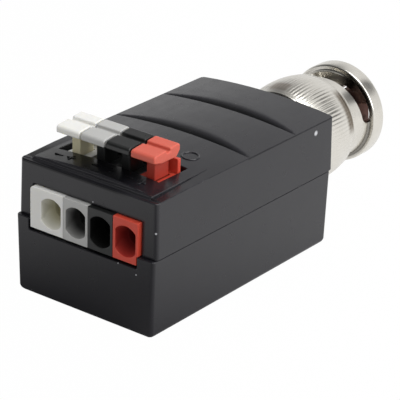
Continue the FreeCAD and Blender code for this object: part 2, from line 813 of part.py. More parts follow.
def coupling_nut():
    """The turned nut: barrel, slotted neck and rim, hollow for the spring stack."""
    profile = []
    for step in range(-knurl_steps, knurl_steps + 1):
        share = step / knurl_steps
        reach = knurl_crest if step < 0 else knurl_length - knurl_crest
        end_radius = knurl_back_radius if step < 0 else knurl_front_radius
        profile.append((nut_back + knurl_crest + reach * share,
                        knurl_middle_radius - (knurl_middle_radius - end_radius) * share ** 2))
    profile.append((neck_back + shoulder_round, knurl_front_radius - shoulder_drop))
    profile.append((neck_back + neck_bevel, neck_radius + neck_step))
    rings = [corner_ring(0, y, plug_height, radius, knurl_facets) for y, radius in profile]
    barrel = faceted_solid(rings)
    front = turned([(neck_back, 0), (neck_back, neck_radius), (rim_back, neck_radius), (rim_back, rim_radius),
                    (nut_front - rim_chamfer, rim_radius), (nut_front, rim_radius - rim_chamfer),
                    (nut_front, 0)])
    hollow = turned([(nut_back, 0), (nut_back, nut_chamber_radius), (shoulder_y1, nut_chamber_radius),
                     (shoulder_y1, nut_bore_radius), (nut_front, nut_bore_radius), (nut_front, 0)])
    nut = barrel.fuse(front).cut(hollow)
    for index in range(slot_count):
        for cutter in bayonet_slot():
            cutter.rotate(PLUG_CENTRE, Y_AXIS, 360 / slot_count * index)
            nut = nut.cut(cutter)
    return nut


def build():
    parts = {"upper_shell": upper_shell(), "lower_shell": lower_shell(), "circuit_board": circuit_board()}
    for index, colour in enumerate(colours):
        parts["terminal_" + colour] = terminal_module(index)
        parts["key_" + colour] = push_key(index)
        parts["contact_" + colour] = contact_bar(index)
        parts["clamp_spring_" + colour] = clamp_spring(index)
    parts["transformer_core"] = transformer_core()
    parts["transformer_winding"] = transformer_winding()
    spacing = (surge_length + chip_length) / 2 + component_gap
    for name, side in (("left", -1), ("right", 1)):
        parts["surge_diode_" + name] = component(side, core_y, surge_length, surge_width, surge_height)
        parts["resistor_" + name] = component(side, core_y - spacing, chip_length, chip_width, chip_height)
    parts["plug_body"] = plug_body()
    parts["plug_insulator"] = plug_insulator()
    parts["centre_pin"] = centre_pin()
    parts["ground_sleeve"] = ground_sleeve()
    parts["gasket"] = gasket()
    parts["retaining_ring"] = retaining_ring()
    parts["thrust_washer"] = thrust_washer()
    parts["wave_spring"] = wave_spring()
    parts["coupling_nut"] = coupling_nut()
    parts["signal_lead"] = lead(0, tail_front - pin_tail_length)
    parts["ground_lead"] = lead((tail_radius + insulator_radius) / 2, tail_front)
    return parts


os.makedirs("parts", exist_ok=True)
for name, shape in build().items():
    shape.translate(FreeCAD.Vector(0, -origin_y, 0))
    shape.exportStep("parts/" + name + ".step")
    limits = shape.optimalBoundingBox()
    print(f"{name}: solids {len(shape.Solids)}, valid {shape.isValid()}, volume {shape.Volume:.2f}, "
          f"x {limits.XMin:.2f}..{limits.XMax:.2f}, y {limits.YMin:.2f}..{limits.YMax:.2f}, "
          f"z {limits.ZMin:.2f}..{limits.ZMax:.2f}")
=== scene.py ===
import math
from functools import partial

import bmesh
import bpy
from mathutils import Matrix, Vector


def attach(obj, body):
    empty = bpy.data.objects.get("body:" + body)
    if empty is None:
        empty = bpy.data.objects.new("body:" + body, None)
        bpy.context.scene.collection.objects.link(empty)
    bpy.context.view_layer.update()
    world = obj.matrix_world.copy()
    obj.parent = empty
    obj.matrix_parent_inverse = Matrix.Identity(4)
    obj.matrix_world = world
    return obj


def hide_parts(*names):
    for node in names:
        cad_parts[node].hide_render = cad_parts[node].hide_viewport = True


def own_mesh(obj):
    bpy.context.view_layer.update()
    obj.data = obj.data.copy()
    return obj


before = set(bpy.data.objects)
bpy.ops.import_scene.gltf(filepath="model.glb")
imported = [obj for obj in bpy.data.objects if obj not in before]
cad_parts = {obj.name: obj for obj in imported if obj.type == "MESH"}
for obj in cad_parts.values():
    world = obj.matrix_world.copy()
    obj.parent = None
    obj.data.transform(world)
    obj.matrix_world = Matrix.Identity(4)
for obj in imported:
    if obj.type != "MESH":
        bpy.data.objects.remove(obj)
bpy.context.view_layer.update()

# Passive video balun: satin black two-part housing, four push keys over their
# wire ports, and a nickel plated bayonet plug. The frame is in metres, and named sizes are in mm.

mm = 0.001
plugAxisZ = 10.69 * mm  # height of the plug's axis over the base
funnelMouth = -27.9  # where the wire ports open, mm along y
scene = bpy.context.scene
scene.view_settings.view_transform = "Standard"
print("frame loaded:", len(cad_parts), "nodes")


def linearColour(hexText):
    channels = []
    for start in (1, 3, 5):
        value = int(hexText[start:start + 2], 16) / 255
        channels.append(value / 12.92 if value <= 0.04045 else ((value + 0.055) / 1.055) ** 2.4)
    return (*channels, 1.0)


def fillSockets(tree, node, sockets):
    # sockets go by name, or a list fills the first ones
    # a value is a number, a vector, a hex colour, a node for its first live output, or (node, output)
    named = dict(enumerate(sockets)) if isinstance(sockets, list) else sockets
    for key, value in named.items():
        if isinstance(value, str):
            value = linearColour(value)
        elif isinstance(value, bpy.types.Node):
            value = (value, next(index for index, output in enumerate(value.outputs) if output.enabled))
        if isinstance(value, tuple) and isinstance(value[0], bpy.types.Node):
            tree.links.new(value[0].outputs[value[1]], node.inputs[key])
        else:
            node.inputs[key].default_value = value


def addNode(tree, kind, settings=None, sockets=None):
    # settings are the node's own choices, or just its operation
    node = tree.nodes.new(kind if "Node" in kind else "ShaderNode" + kind)
    if isinstance(settings, str):
        settings = {"operation": settings}
    for key, value in (settings or {}).items():
        setattr(node, key, value)
    fillSockets(tree, node, sockets or {})
    return node


inColour = {"data_type": "RGBA"}
smooth = {"interpolation_type": "SMOOTHSTEP"}


def emptyTree(owner):
    owner.use_nodes = True
    owner.node_tree.nodes.clear()
    return owner.node_tree


def startMaterial(name):
    material = bpy.data.materials.new(name)
    tree = emptyTree(material)
    shader = addNode(tree, "BsdfPrincipled")
    addNode(tree, "OutputMaterial", {}, {"Surface": shader})
    place = (addNode(tree, "TexCoord"), "Object")
    return material, partial(addNode, tree), place, partial(fillSockets, tree, shader)


def overlap(add, *masks):
    # masks multiplied
    whole = masks[0]
    for mask in masks[1:]:
        whole = add("Math", "MULTIPLY", [whole, mask])
    return whole


def linkObject(name, data):
    made = bpy.data.objects.new(name, data)
    scene.collection.objects.link(made)
    return made


def linkPiece(name, mesh, materials):
    mesh.materials.clear()
    for material in materials:
        mesh.materials.append(material)
    return linkObject(name, mesh)


def pieceFrom(work, name, materials):
    mesh = bpy.data.meshes.new(name)
    work.to_mesh(mesh)
    work.free()
    return linkPiece(name, mesh, materials)


def bakeModifiers(piece):
    # the evaluated shape becomes the piece's plain mesh
    bpy.context.view_layer.update()
    evaluated = piece.evaluated_get(bpy.context.evaluated_depsgraph_get())
    mesh = bpy.data.meshes.new_from_object(evaluated)
    piece.modifiers.clear()
    piece.data = mesh


def addModifier(piece, kind, settings):
    modifier = piece.modifiers.new(kind.lower(), kind)
    for key, value in settings.items():
        setattr(modifier, key, value)
    return modifier


def turnOutward(work, isSmooth):
    bmesh.ops.recalc_face_normals(work, faces=work.faces)
    for face in work.faces:
        face.smooth = isSmooth


def ringPiece(name, rings, materials, around=True):
    # faces between each ring of points and the next
    # around: the last ring meets the first, and all is smooth; otherwise both ends close
    work = bmesh.new()
    made = [[work.verts.new(point) for point in ring] for ring in rings]
    following = made[1:] + made[:1] if around else made[1:]
    for first, second in zip(made, following):
        for index in range(len(first)):
            other = (index + 1) % len(first)
            work.faces.new((first[index], first[other], second[other], second[index]))
    if not around:
        work.faces.new(made[0])
        work.faces.new(made[-1])
    turnOutward(work, around)
    return pieceFrom(work, name, materials)


def roundTurns(count):
    return [math.tau * step / count for step in range(count)]


def shadeTop(add, place, setShader, tone, crown):
    # painted shade: depth under the crown's own curve marks the grooves; y and x mark the front of the panel
    s = crown["shade"]
    parts = add("SeparateXYZ", {}, [place])
    x, y, z = ((parts, axis) for axis in "XYZ")
    squared = add("Math", "MULTIPLY", [x, x])
    sag = add("Math", "MULTIPLY_ADD", [squared, 1 / (2 * crown["radius"] * mm), z])
    level = add("Math", "MULTIPLY_ADD", [y, crown["fall"], sag])
    depth = add("Math", "SUBTRACT", [(crown["top"] + crown["fall"] * crown["front"]) * mm, level])
    groove = add("MapRange", smooth, [depth, s["shallow"] * mm, s["deep"] * mm])
    behind = add("Math", "GREATER_THAN", [y, s["behind"] * mm])
    grooves = overlap(add, groove, add("Math", "GREATER_THAN", [z, s["over"] * mm]), behind)
    ahead = add("MapRange", smooth, [y, *(s["ahead"] * mm)])
    left = add("MapRange", smooth, [x, *(s["left"] * mm)])
    panel = add("MapRange", {}, [y, *(s["riserTop"] * mm), s["riserShare"], 1.0])
    ledge = add("MapRange", {}, [y, *(s["riserFoot"] * mm), s["ledgeShare"], 0.0])
    share = add("Math", "ADD", [panel, ledge])
    front = overlap(add, ahead, left, share, add("Math", "GREATER_THAN", [z, s["overLedge"] * mm]))
    mask = add("Math", "MAXIMUM", [grooves, front])
    # the painted shade also dims the reflection there, through the specular tint
    setShader({"Specular Tint": add("Mix", inColour, {
        "Factor": mask, "A": "#FFFFFF", "B": s["sheen"]})})
    return add("Mix", inColour, {"Factor": mask, "A": tone, "B": s["colour"]})


def riserLines(add, place, look):
    # the tool's passes left a few fine lines along the riser in front of the keys
    parts = add("SeparateXYZ", {}, [place])
    count = add("Math", "MULTIPLY", [(parts, "Y"), math.tau / (look["spacing"] * mm)])
    wave = add("Math", "SINE", [count])
    behind = add("Math", "GREATER_THAN", [(parts, "Y"), look["foot"] * mm])
    ahead = add("Math", "LESS_THAN", [(parts, "Y"), look["top"] * mm])
    above = add("Math", "GREATER_THAN", [(parts, "Z"), look["over"] * mm])
    return overlap(add, behind, ahead, above, wave)


def mouldedPlastic(name, base, colours, **changes):
    # base colour drifts a little over some millimetres; the eroded tool leaves a fine grain;
    # handling brightens the edges, and a few dust specks lie on it
    look = dict(base, **changes)
    colour, shade, wornColour = colours
    material, add, place, setShader = startMaterial(name)
    drift = add("TexNoise", {}, {
        "Vector": place, "Scale": 1 / (look["driftSize"] * mm), "Detail": 3.0, "Roughness": 0.55})
    body = add("Mix", inColour, {"Factor": drift, "A": colour, "B": shade})
    # a normal that a small radius rounds off differs from the face's own near an edge
    edge = add("Bevel", {"samples": 4}, {"Radius": look["wearWidth"] * mm})
    alike = add("VectorMath", "DOT_PRODUCT", [edge, (add("NewGeometry"), "Normal")])
    worn = add("MapRange", {}, [alike, *look["wearCosines"], 0.0, look["wear"]])
    rub = add("TexNoise", {}, {
        "Vector": place, "Scale": 1 / (look["rubSize"] * mm), "Detail": 4.0, "Roughness": 0.6})
    patch = add("MapRange", {}, [rub, 0.4, 0.65, 0.15, 1.0])
    rubbed = add("Mix", inColour, {"Factor": overlap(add, worn, patch), "A": body, "B": wornColour})
    cells = add("TexVoronoi", {}, {"Vector": place, "Scale": 1 / (look["dustSpacing"] * mm)})
    near = add("MapRange", {}, [(cells, "Distance"), look["dustSize"] / look["dustSpacing"], 0.0])
    chance = add("SeparateColor", {}, {"Color": (cells, "Color")})
    some = add("Math", "GREATER_THAN", [(chance, "Red"), 1.0 - look["dustShare"]])
    tone = add("Mix", inColour, {"Factor": overlap(add, near, some), "A": rubbed, "B": look["dust"]})
    for x, y, z, size in look.get("specks", ()):
        gap = add("VectorMath", "DISTANCE", [place, (x * mm, y * mm, z * mm)])
        fleck = add("MapRange", {}, [gap, size * mm, size * 0.45 * mm])
        tone = add("Mix", inColour, {"Factor": fleck, "A": tone, "B": look["speck"]})
    if "crown" in look:
        # painted shade where the grip grooves and the panel in front of the keys stay in shade: darker
        # colour, dimmer reflection
        tone = shadeTop(add, place, setShader, tone, look["crown"])
    gloss = add("MapRange", {}, [rub, 0.3, 0.7, *look["roughness"]])
    grain = add("TexNoise", {}, {"Vector": place, "Scale": 1 / (look["grainSize"] * mm)})
    fine = add("Bump", {}, {"Height": grain, "Strength": look["grain"], "Distance": look["grainHeight"] * mm})
    sink = add("TexNoise", {}, {"Vector": place, "Scale": 1 / (look["sinkSize"] * mm), "Detail": 1.0})
    surface = add("Bump", {}, {
        "Height": sink, "Strength": look["sink"], "Distance": look["sinkHeight"] * mm, "Normal": fine})
    if "riser" in look:
        surface = add("Bump", {}, {
            "Height": riserLines(add, place, look["riser"]), "Strength": 0.8,
            "Distance": look["riser"]["height"] * mm, "Normal": surface})
    setShader({"Base Color": tone, "Roughness": gloss, "Normal": surface, "IOR": look["ior"]})
    if look["translucency"] > 0:
        setShader({"Subsurface Weight": look["translucency"], "Subsurface Radius": look["scatter"],
                   "Subsurface Scale": look["scatterDepth"] * mm})
    return material


def ringPatch(add, place, y, reach, reachOut, angle, spread, strength):
    # a mask round the plug's axis: it fades along y, past a radius and away from an angle (90 is the top)
    parts = add("SeparateXYZ", {}, [place])
    along = add("Math", "SUBTRACT", [(parts, "Y"), y * mm])
    gap = add("Math", "ABSOLUTE", [along])
    near = add("MapRange", smooth, [gap, reach * mm, reach * 0.4 * mm])
    height = add("Math", "SUBTRACT", [(parts, "Z"), plugAxisZ])
    radial = add("CombineXYZ", {}, {"X": (parts, "X"), "Z": height})
    radius = add("VectorMath", "LENGTH", [radial])
    inner = add("MapRange", {}, [radius, (reachOut + 0.08) * mm, (reachOut - 0.08) * mm])
    outward = add("VectorMath", "NORMALIZE", [radial])
    turn, wide = math.radians(angle), math.radians(spread)
    facing = add("VectorMath", "DOT_PRODUCT", [outward, (math.cos(turn), 0.0, math.sin(turn))])
    around = add("MapRange", smooth, [facing, math.cos(wide), math.cos(wide * 0.5)])
    return overlap(add, near, inner, around, strength)


def platedMetal(name, colours, look):
    # thin bright plate: cloudy tarnish over millimetres, fine turning lines round the axis, tiny pits
    pitSize, pitDepth, lineDepth = 0.35, 0.02, 0.01
    material, add, place, setShader = startMaterial(name)
    cloud = add("TexNoise", {}, {
        "Vector": place, "Scale": 1 / (look["cloudSize"] * mm), "Detail": 5.0, "Roughness": 0.6})
    tone = add("Mix", inColour, {"Factor": cloud, "A": colours[0], "B": colours[1]})
    # dark patches round the axis: most are painted shade, and one is a painted reflection
    for *patch, patchColour in look.get("darkPatches", ()):
        tone = add("Mix", inColour, {"Factor": ringPatch(add, place, *patch), "A": tone, "B": patchColour})
    stretch = add("Mapping", {}, {"Vector": place, "Scale": look["stretch"]})
    lines = add("TexNoise", {}, {"Vector": stretch, "Scale": 1 / (look["lineSize"] * mm), "Detail": 3.0})
    marks = add("Bump", {}, {"Height": lines, "Strength": look["line"], "Distance": lineDepth * mm})
    pits = add("TexNoise", {}, {"Vector": place, "Scale": 1 / (pitSize * mm)})
    dents = add("Bump", {}, {
        "Height": pits, "Strength": look["pit"], "Distance": pitDepth * mm, "Normal": marks})
    setShader({"Base Color": tone, "Roughness": add("MapRange", {}, [cloud, 0.3, 0.7, *look["roughness"]]),
               "Normal": dents, "Metallic": 1.0})
    return material


crownSizes = {
    "top": 18.786, "front": -26.14, "fall": 0.00325, "radius": 86.9, "step": 0.5, "strips": 21,
    # painted shade over the grooves and the panel in front of the keys: where it falls, the reflection's tint
    # and the colour
    "shade": {
        "shallow": -0.01, "deep": 0.2, "over": 17.85, "behind": -9.2, "ahead": Vector((-21.8, -23.6)),
        "left": Vector((7.5, 3.5)), "riserTop": Vector((-26.2, -26.0)), "riserShare": 0.2,
        "riserFoot": Vector((-26.74, -26.66)), "ledgeShare": 0.4, "overLedge": 17.6,
        "sheen": (0.02, 0.02, 0.02, 1.0), "colour": "#08080A"}}
absLook = {  # ABS moulded in a spark eroded tool: deep grey black with a soft sheen
    "driftSize": 6.0, "wearWidth": 0.22, "wear": 0.35, "wearCosines": (0.995, 0.8), "rubSize": 1.7,
    "dustSpacing": 4.6, "dustSize": 0.2, "dustShare": 0.1, "dust": "#C9C7C2", "speck": "#B9BABD",
    "roughness": (0.19, 0.28), "grainSize": 0.12, "grain": 0.25, "grainHeight": 0.02, "sink": 0.12,
    "sinkSize": 7.0, "sinkHeight": 0.3, "ior": 1.48, "translucency": 0.0}
nylonLook = dict(  # nylon moulded in a plain tool: duller, and light may creep in
    absLook, wear=0.12, dustSpacing=3.0, dustSize=0.12, dustShare=0.05, grainSize=0.1, grain=0.2,
    roughness=(0.4, 0.52), scatter=(1.0, 0.9, 0.7), scatterDepth=0.8)
blackAbs = mouldedPlastic(
    "blackAbsMoulded", absLook, ("#1D1C21", "#18181C", "#6B6B6E"), crown=crownSizes,
    riser={"foot": -26.68, "top": -26.15, "over": 17.9, "spacing": 0.17, "height": 0.03},
    specks=((10.91, 5.53, 16.88, 0.42), (1.01, -27.31, 15.41, 0.11), (10.75, -27.18, 14.09, 0.16),
            (5.56, -27.92, 8.86, 0.1), (8.4, -27.93, 8.17, 0.13), (9.3, -15.4, 18.15, 0.1),
            (10.9, -20.2, 8.1, 0.1)))
whiteNylon = mouldedPlastic(  # natural nylon lets light in, so it looks creamy
    "whiteNylonMoulded", nylonLook, ("#E0E0DE", "#D9D8D3", "#ECEBE8"), translucency=0.25)
litStemWhiteNylon = mouldedPlastic(  # painted light: thin parts of the same nylon, coloured creamy for the light coming through them
    "whiteNylonStemPaintedLight", nylonLook, ("#DAD4B8", "#CFC8A6", "#E4DFC8"), translucency=0.3)
greyNylon = mouldedPlastic(  # dyed grey: little light gets in
    "greyNylonMoulded", nylonLook, ("#B2B2B0", "#A9A9A7", "#CFCFCD"), translucency=0.1)
blackNylon = mouldedPlastic(  # dyed black: only its sheen shows
    "blackNylonMoulded", nylonLook, ("#1E1F1F", "#191A1A", "#55565A"), roughness=(0.27, 0.37))
redNylon = mouldedPlastic(  # dyed red: it glows a little
    "redNylonMoulded", nylonLook, ("#CC4A38", "#C24230", "#EE8A74"), translucency=0.2,
    scatter=(1.0, 0.25, 0.15))
shadedStemRedNylon = mouldedPlastic(  # painted shade: the same nylon, a deeper red on the stem under the head
    "redNylonStemPaintedShade", nylonLook, ("#AE3B2C", "#A23224", "#D8705C"), translucency=0.15,
    scatter=(1.0, 0.25, 0.15))
redKeySheenNylon = mouldedPlastic(  # painted sheen: the head is paler and pinker than the terminal's red, standing in for the shine on its top
    "redKeyNylonPaintedSheen", nylonLook, ("#CA5E4C", "#C15343", "#E89884"), translucency=0.15,
    scatter=(1.0, 0.3, 0.2))
# dark patches: y, reach along it, radius, angle and spread in degrees, strength, colour
nutDarkPatches = (
    (20.3, 1.5, 9.0, 31, 30, 0.95, "#786D5E"),  # painted reflection: a brown lens on the shoulder
    (25.5, 0.42, 6.85, 44, 40, 0.95, "#24211E"),  # painted shade: darker in the corner under the rim
    (25.5, 0.4, 6.55, -40, 70, 0.7, "#4A453D"),  # painted shade, fainter, in the same corner lower down
    (14.2, 1.3, 9.0, 99, 14, 0.7, "#A3968A"))  # a darker patch at the top
nickelPlate = platedMetal("nickelPlatedBrassTurned", ("#E6E3DC", "#D8D4CB"), {  # bright, warm, cloudy
    "darkPatches": nutDarkPatches, "cloudSize": 2.5, "stretch": (1.0, 14.0, 1.0), "lineSize": 1.4, "line": 0.06,
    "roughness": (0.2, 0.3), "pit": 0.03})
sleevePlate = platedMetal("nickelPlatedSleeveSlotted", ("#CFCCC5", "#BDB9B0"), {  # painted shade: darkened red brown at right, where the nut's slots show it
    "darkPatches": [(26.0, 4.0, 9.0, 14, 80, 0.95, "#4E2C24")], "cloudSize": 1.5, "stretch": (1.0, 14.0, 1.0),
    "lineSize": 1.0, "line": 0.06, "roughness": (0.3, 0.42), "pit": 0.05})
goldPlate = platedMetal("goldPlatedPinTurned", ("#D9B25C", "#C79B45"), {  # a soft flash, polished by mating
    "cloudSize": 1.5, "stretch": (1.0, 10.0, 1.0), "lineSize": 0.8, "line": 0.15,
    "roughness": (0.16, 0.26), "pit": 0.06})
springSteel = platedMetal("springSteelRolled", ("#9A9B9C", "#828384"), {  # grey with lines along the strip
    "cloudSize": 1.2, "stretch": (6.0, 1.0, 1.0), "lineSize": 0.5, "line": 0.3,
    "roughness": (0.24, 0.38), "pit": 0.1})
tinPlate = platedMetal("tinPlatedCopperStrip", ("#C4C2BB", "#ABA89F"), {  # whiter and softer than steel
    "cloudSize": 0.9, "stretch": (5.0, 1.0, 1.0), "lineSize": 0.4, "line": 0.25,
    "roughness": (0.28, 0.45), "pit": 0.2})
whiteAcetal = mouldedPlastic(  # turned from rod: clean and white
    "whiteAcetalTurned", nylonLook, ("#E8E6DE", "#E0DDD2", "#F5F4EE"), translucency=0.2)
redSilicone = mouldedPlastic(  # moulded soft rubber: dull
    "redSiliconeMoulded", nylonLook, ("#9C3A2A", "#8A2E20", "#B85A48"), roughness=(0.5, 0.62))
epoxyBlack = mouldedPlastic(  # epoxy moulded round small parts: matt
    "epoxyPackageMoulded", nylonLook, ("#232323", "#1B1B1B", "#5A5A5A"), roughness=(0.55, 0.7), grain=0.5)
ferriteDark = mouldedPlastic(  # pressed and sintered powder: matt and grainy
    "ferriteSintered", nylonLook, ("#2B2B2E", "#222225", "#4A4A4E"), roughness=(0.6, 0.75), grain=0.8,
    grainSize=0.2)


def boardMaterial(name, look):
    # fibreglass board under green solder mask, copper tracks showing as paler green bars
    material, add, place, setShader = startMaterial(name)
    tracks = add("TexBrick", {}, {
        "Vector": place, "Scale": 1 / (look["trackSpacing"] * mm), "Mortar Size": 0.12,
        "Color1": look["mask"], "Color2": look["track"], "Mortar": look["gap"]})
    weave = add("TexWave", {}, {"Vector": place, "Scale": 1 / (look["weave"] * mm), "Distortion": 1.0})
    setShader({
        "Base Color": add("Mix", {"data_type": "RGBA", "blend_type": "MULTIPLY"}, {
            "Factor": 0.15, "A": tracks, "B": (weave, "Color")}),
        "Normal": add("Bump", {}, {"Height": (tracks, "Fac"), "Strength": 0.4, "Distance": 0.03 * mm}),
        "Roughness": 0.3, "IOR": 1.55})
    return material


def windingMaterial(name, look):
    # enamelled wire, turn beside turn round the ring: each turn is a ridge that points at the middle, with
    # painted shade in the gaps between turns
    material, add, place, setShader = startMaterial(name)
    centred = add("Mapping", {}, {"Vector": place, "Location": (0.0, -look["centreY"] * mm, 0.0)})
    parts = add("SeparateXYZ", {}, [centred])
    angle = add("Math", "ARCTAN2", [(parts, "Y"), (parts, "X")])
    turns = add("Math", "MULTIPLY", [angle, look["turns"] / 2])
    ridge = add("Math", "ABSOLUTE", [add("Math", "SINE", [turns])])
    setShader({
        "Base Color": add("Mix", inColour, {"Factor": ridge, "A": look["shade"], "B": look["colour"]}),
        "Normal": add("Bump", {}, {"Height": ridge, "Strength": 0.8, "Distance": look["wire"] * 0.5 * mm}),
        "Metallic": 0.6, "Roughness": 0.28})
    return material


def portShade(name, mouth, deep, darkFrom, sheen):
    # the wire funnels: same nylon, which falls into its own shadow along y
    material, add, place, setShader = startMaterial(name)
    parts = add("SeparateXYZ", {}, [place])
    depth = add("MapRange", smooth, [(parts, "Y"), funnelMouth * mm, darkFrom * mm])
    mottle = add("TexNoise", {}, {"Vector": place, "Scale": 1 / (0.8 * mm)})
    shifted = add("Math", {"operation": "MULTIPLY_ADD", "use_clamp": True}, [mottle, 0.1, depth])
    setShader({
        "Base Color": add("Mix", inColour, {"Factor": shifted, "A": mouth, "B": deep}),
        "Normal": add("Bump", {}, {"Height": mottle, "Strength": 0.2, "Distance": 0.02 * mm}),
        "Roughness": 0.6, "Specular IOR Level": sheen})
    return material


portShades = {colourName: portShade(colourName + "FunnelShade", *look) for colourName, *look in (
    ("white", "#D9D8CF", "#B9B496", -25.0, 0.3), ("grey", "#8E8E8C", "#2E2E2D", -26.0, 0.2),
    ("black", "#151515", "#0B0B0B", -26.5, 0.05), ("red", "#A8332B", "#6E1A1A", -25.6, 0.15))}
boardGreen = boardMaterial("fibreglassBoardMasked", {
    "mask": "#16502F", "track": "#1F6B3E", "gap": "#10402A", "trackSpacing": 3.2, "weave": 0.5})
copperTurns = windingMaterial("enamelledCopperWound", {
    "colour": "#B5562A", "shade": "#5E2412", "centreY": -6.82, "turns": 72, "wire": 0.35})
print("materials made")

foldAngle = 28  # degrees; a steeper fold is an edge, and a shallower one is shaded across


def softNormals(mesh, bevelIndex):
    # broad faces keep their own direction, shared only over shallow edges; rounded strips blend between them
    mesh.update()
    shallow = math.cos(math.radians(foldAngle))
    broadAt = [[] for vertex in mesh.vertices]
    stripAt = [[] for vertex in mesh.vertices]
    for face in mesh.polygons:
        for index in face.vertices:
            (stripAt if face.material_index == bevelIndex else broadAt)[index].append(face)
    normals = []
    for face in mesh.polygons:
        isStrip = face.material_index == bevelIndex
        for index in face.vertices:
            total = Vector()
            for other in broadAt[index] or stripAt[index]:
                if isStrip or other.normal.dot(face.normal) > shallow:
                    total += other.normal * other.area
            normals.append(total.normalized() if total.length > 0 else face.normal.copy())
    mesh.normals_split_custom_set(normals)


grooveSizes = {
    "walls": (-8.95, 0.95), "length": 2.7, "depth": 0.43, "halfWidth": 10.5, "blend": 0.05,
    "wallRun": 0.04, "step": 0.15, "steps": 20, "low": 18.2, "high": 18.8, "margin": 0.5,
    "endPower": 0.6, "tailSlope": 0.4}
# how the crown's faces and points are told from others, and which edges round a groove stay crisp
crownLimits = {
    "upward": 0.85, "offCrown": 0.03, "beforeWall": 0.01, "behindWall": 2.8, "onWall": 0.004,
    "underCrown": 0.02, "snap": 0.0002, "merge": 0.002}
crispLimits = {"over": 18.0, "halfWidth": 10.55, "beforeWall": 0.02, "behindWall": 3.0}


def crownHeight(x, y):
    s = crownSizes
    return s["top"] - s["fall"] * (y - s["front"]) - x * x / (2 * s["radius"])


def grooveDrop(x, along):
    # how far the groove's floor lies under the crown: deepest at its wall, out at both ends and at the back
    s = grooveSizes
    fade = max(0.0, 1 - (x / s["halfWidth"]) ** 2) ** s["endPower"]
    share = along / s["length"]
    rise = 1 - (1 - share) ** 2 if share < 1 else 1 + s["tailSlope"] * (share - 1)
    drop = s["depth"] * (fade - rise)
    overlapping = max(s["blend"] - abs(drop), 0) / s["blend"]
    return max(drop, 0) + overlapping ** 2 * s["blend"] / 4


def byWall(y, limits):
    return any(-limits["beforeWall"] < y - wall < limits["behindWall"] for wall in grooveSizes["walls"])


def crownFaces(work):
    found = []
    for face in work.faces:
        if face.normal.z < crownLimits["upward"]:
            continue
        for vert in face.verts:
            x, y, z = vert.co / mm
            inGroove = byWall(y, crownLimits) and grooveSizes["low"] < z < grooveSizes["high"]
            if abs(z - crownHeight(x, y)) > crownLimits["offCrown"] and not inGroove:
                break
        else:
            found.append(face)
    return found


def shapeCrown(work):
    # the crown is cut into fine strips, and each point is set to the crown's or the groove's true height
    g, limits = grooveSizes, crownLimits
    strips = crownSizes["strips"]
    cuts = [(Vector((x * crownSizes["step"], 0, 0)), Vector((1, 0, 0))) for x in range(-strips, strips + 1)]
    for wall in g["walls"]:
        places = [wall, wall + g["wallRun"]]
        places += [wall + g["step"] * step for step in range(1, g["steps"] + 1)]
        cuts += [(Vector((0, y, 0)), Vector((0, 1, 0))) for y in places]
    for place, normal in cuts:
        faces = crownFaces(work)
        around = set(faces)
        for face in faces:
            around.update(face.edges)
            around.update(face.verts)
        bmesh.ops.bisect_plane(work, geom=list(around), dist=limits["snap"] * mm, plane_co=place * mm,
                               plane_no=normal)
        work.normal_update()
    for vert in {vert for face in crownFaces(work) for vert in face.verts}:
        x, y, z = vert.co / mm
        crown = crownHeight(x, y)
        for wall in g["walls"]:
            along = y - wall
            if abs(along) < limits["onWall"]:
                if z < crown - limits["underCrown"]:
                    vert.co.y = (wall + g["wallRun"]) * mm
                    z = crown - grooveDrop(x, 0)
            elif 0 < along < g["length"] + g["margin"]:
                z = crown - grooveDrop(x, along - g["wallRun"])
        vert.co.z = z * mm
    bmesh.ops.remove_doubles(work, verts=work.verts, dist=limits["merge"] * mm)
    work.normal_update()


def grooveEdge(place):
    s = crispLimits
    return place.z > s["over"] and abs(place.x) < s["halfWidth"] and byWall(place.y, s)


def softCopy(nodeName, pieceName, edges, materials, body):
    # a copy of a CAD solid's mesh with rounded edges, after edges["shape"] has worked on it
    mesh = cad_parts[nodeName].data.copy()
    if "custom_normal" in mesh.attributes:
        mesh.attributes.remove(mesh.attributes["custom_normal"])
    work = bmesh.new()
    work.from_mesh(mesh)
    bmesh.ops.remove_doubles(work, verts=work.verts, dist=edges["weld"] * mm)
    bmesh.ops.dissolve_degenerate(work, dist=edges["tiny"] * mm, edges=work.edges)
    bmesh.ops.dissolve_limit(work, angle_limit=math.radians(edges["flat"]), verts=work.verts,
                             edges=work.edges)
    if "shape" in edges:
        edges["shape"](work)
    weights = work.edges.layers.float.new("bevel_weight_edge")
    for face in work.faces:
        face.smooth = True
        face.material_index = 0
    for edge in work.edges:
        if len(edge.link_faces) != 2:
            continue
        middle = (edge.verts[0].co + edge.verts[1].co) / 2 / mm
        crisp = "crisp" in edges and edges["crisp"](middle)
        if math.degrees(edge.calc_face_angle(0)) > foldAngle and not crisp:
            edge[weights] = 1.0
    work.to_mesh(mesh)
    work.free()
    piece = linkPiece(pieceName, mesh, materials + [materials[0]])
    addModifier(piece, "BEVEL", {
        "width": edges["width"] * mm, "segments": edges["segments"], "limit_method": "WEIGHT",
        "miter_outer": "MITER_ARC", "use_clamp_overlap": edges["clamp"], "material": len(materials)})
    bakeModifiers(piece)
    softNormals(piece.data, len(materials))
    for face in piece.data.polygons:
        face.material_index = 0
    piece.data.materials.pop()
    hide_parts(nodeName)
    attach(piece, body)
    return piece


lowerEdges = {"weld": 0.001, "flat": 0.4, "tiny": 0.02, "width": 0.13, "segments": 3, "clamp": False}
upperEdges = dict(lowerEdges, shape=shapeCrown, crisp=grooveEdge)
terminalEdges = dict(lowerEdges, tiny=0.01, width=0.07, segments=2)
keyEdges = dict(lowerEdges, tiny=0.01, width=0.22, segments=4, clamp=True)
plugEdges = dict(lowerEdges, tiny=0.005, width=0.08, segments=2)
stripEdges = dict(lowerEdges, flat=0.2, tiny=0.005, width=0.03, segments=2)
upperShell = softCopy("upper_shell", "upperShellSoft", upperEdges, [blackAbs], "housing")
lowerShell = softCopy("lower_shell", "lowerShellSoft", lowerEdges, [blackAbs], "housing")
print("shells softened")

